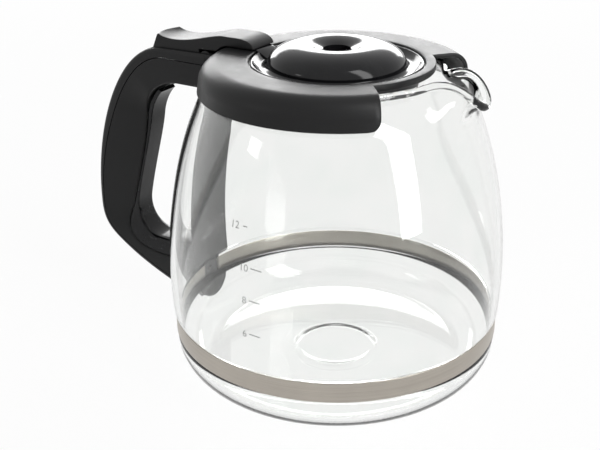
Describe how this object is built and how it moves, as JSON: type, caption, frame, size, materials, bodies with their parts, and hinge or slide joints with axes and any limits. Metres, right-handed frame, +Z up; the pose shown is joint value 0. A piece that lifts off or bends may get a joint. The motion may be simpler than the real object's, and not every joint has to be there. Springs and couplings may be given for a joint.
{
  "type": "coffee carafe",
  "caption": "Clear glass coffee carafe with a pulled spout, black neck collar, steel base band, hollow black handle and a hinged lid opened by a thumb lever.",
  "frame": {"origin": "middle of the jug's flat underside", "axes": "+Z up along the jug's axis, +X towards the spout, -X towards the handle, +Y to the left of the spout"},
  "size_m": [0.2105, 0.152, 0.1496],
  "materials": {
    "clear_glass": "clear blown glass",
    "band_steel": "brushed round the band",
    "matte_black": "fine moulded grain",
    "gloss_black": "polished",
    "screw_steel": "zinc plated"
  },
  "bodies": {
    "carafe": {"glass_jug": "clear_glass", "neck_collar": "matte_black", "steel_band": "band_steel", "band_screw": "screw_steel", "band_nut": "screw_steel", "handle_backplate": "matte_black", "pad_screw": "screw_steel", "handle_shell": "matte_black", "spine_cover": "matte_black", "grip_insert": "gloss_black", "arm_screw_near": "screw_steel", "arm_screw_far": "screw_steel", "hinge_pin": "screw_steel"},
    "lid": {"lid_cap": "gloss_black", "lid_base": "matte_black", "lid_screw_1": "screw_steel", "lid_screw_2": "screw_steel", "lid_screw_3": "screw_steel", "thumb_lever": "matte_black", "lever_screw_front": "screw_steel", "lever_screw_rear": "screw_steel"}
  },
  "joints": [
    {"name": "lid_hinge", "type": "hinge", "parent": "carafe", "child": "lid", "pos_m": [-0.0637, 0, 0.1365], "axis": [0, -1, 0], "range_deg": [0, 28]}
  ]
}
